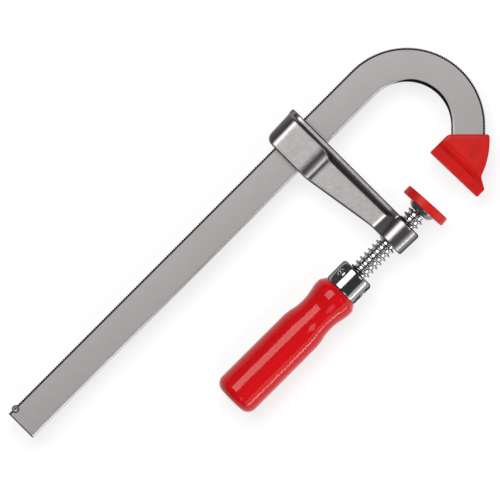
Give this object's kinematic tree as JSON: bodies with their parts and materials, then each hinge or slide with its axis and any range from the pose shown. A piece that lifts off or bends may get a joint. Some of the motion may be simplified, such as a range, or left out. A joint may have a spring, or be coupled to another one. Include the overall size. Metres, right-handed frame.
{
  "type": "bar clamp",
  "caption": "Light bar clamp: hooked flat rail, sliding die-cast arm, screw spindle with wooden handle, swivelling pressure plate and padded fixed jaw.",
  "frame": {"origin": "centre of the fixed jaw's face, where the screw's axis meets it", "axes": "+X along the screw towards the hook, +Y from the screw to the rail, +Z through the clamp's thickness"},
  "size_m": [0.2464, 0.0842, 0.0222],
  "materials": {
    "rail_steel": "dull drawn and plated flat bar",
    "cast_zinc": "tumbled and plated casting, fine grain",
    "screw_steel": "bright rolled thread",
    "polished_steel": "polished and plated drawn sleeve",
    "black_steel": "oiled black pressing",
    "lacquered_wood": "red gloss lacquer on turned wood",
    "red_plastic": "satin red soft plastic"
  },
  "bodies": {
    "frame": {"rail": "rail_steel", "hook_cap": "red_plastic"},
    "arm": {"sliding_arm": "cast_zinc"},
    "ball": {"spindle_ball": "screw_steel"},
    "screw": {"spindle": "screw_steel", "ferrule": "polished_steel", "handle": "lacquered_wood"},
    "plate": {"swivel_plate": "black_steel", "plate_cap": "red_plastic"}
  },
  "joints": [
    {"name": "arm_slide", "type": "slide", "parent": "frame", "child": "arm", "axis": [1, 0, 0], "range_m": [-0.159, 0.004]},
    {"name": "spindle_travel", "type": "slide", "parent": "arm", "child": "ball", "axis": [1, 0, 0], "range_m": [-0.006, 0.01]},
    {"name": "spindle_turn", "type": "hinge", "parent": "ball", "child": "screw", "pos_m": [-0.0234, 0, 0], "axis": [1, 0, 0], "range_deg": [-864.5, 1440.5]},
    {"name": "plate_tilt", "type": "hinge", "parent": "ball", "child": "plate", "pos_m": [-0.02035, 0, 0], "axis": [0, 0, 1], "range_deg": [-10.2, 3.8]}
  ],
  "couplings": [
    {"joint": "spindle_turn", "follows": "spindle_travel", "rad_per_m": 2513.3}
  ]
}
